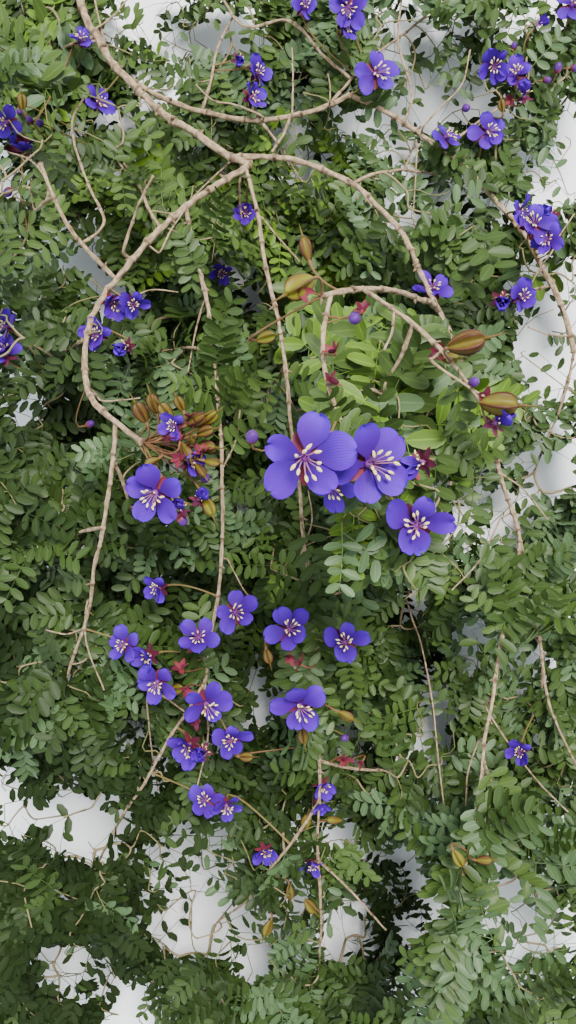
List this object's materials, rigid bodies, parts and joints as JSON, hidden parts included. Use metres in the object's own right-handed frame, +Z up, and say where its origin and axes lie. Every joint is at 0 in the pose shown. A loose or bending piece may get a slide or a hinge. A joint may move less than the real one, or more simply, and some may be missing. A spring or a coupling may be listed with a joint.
{
  "type": "flowering guayacan branch",
  "caption": "Cut flowering branch with blue-violet five-petalled blooms, winged pods and small paired leaves on forking twigs, lying on its side.",
  "frame": {"origin": "on the surface that the branch lies on, under the middle of its box", "axes": "+Z up, square to the surface; +Y along the branch, towards its cut end"},
  "size_m": [0.4294, 0.7708, 0.311],
  "materials": {
    "bark": "pale tan-grey knobbly bark, matt",
    "leaves": "thin green leaves, slightly glossy",
    "petals": "soft blue-violet petals with a pale tuft of stamens",
    "pods": "smooth olive and orange-brown seed pods"
  },
  "bodies": {
    "root": {"main_stem": "bark", "left_bough_upper": "bark", "left_bough_lower": "bark", "right_bough": "bark", "right_bough_lower": "bark", "mid_twig": "bark", "top_bough": "bark", "right_edge_bough": "bark", "left_edge_twig": "bark", "centre_twig": "bark", "hanging_twig": "bark", "front_bough": "bark", "front_twig_down": "bark", "front_twig_right": "bark", "right_low_twig": "bark", "bloom_front_left": "petals", "bloom_front_right": "petals", "bloom_right": "petals", "bloom_left": "petals", "bloom_middle_a": "petals", "bloom_middle_b": "petals", "bloom_middle_c": "petals", "bloom_middle_d": "petals", "bloom_low_a": "petals", "bloom_low_b": "petals", "bloom_low_c": "petals", "bloom_low_d": "petals", "bloom_top": "petals", "bloom_top_right": "petals", "bloom_right_edge": "petals", "pod_front_left": "pods", "pod_front_right": "pods", "pod_front_tip": "pods", "pods_left": "pods", "leaves_top_left": "leaves", "leaves_top_middle": "leaves", "leaves_top_right": "leaves", "leaves_corner": "leaves", "leaves_under_fork": "leaves", "leaves_left_upper": "leaves", "leaves_crook": "leaves", "leaves_right_upper": "leaves", "leaves_right_side": "leaves", "leaves_left_middle": "leaves", "leaves_inner_left": "leaves", "leaves_inner_middle": "leaves", "leaves_front": "leaves", "leaves_right_middle": "leaves", "leaves_right_inner": "leaves", "leaves_left_low": "leaves", "leaves_under_left": "leaves", "leaves_under_middle": "leaves", "leaves_right_low": "leaves", "leaves_fan": "leaves", "leaves_low_left": "leaves", "leaves_low_middle": "leaves", "leaves_low_right": "leaves", "leaves_bottom": "leaves", "leaves_right_tip": "leaves", "leaves_right_foot": "leaves"}
  },
  "joints": []
}
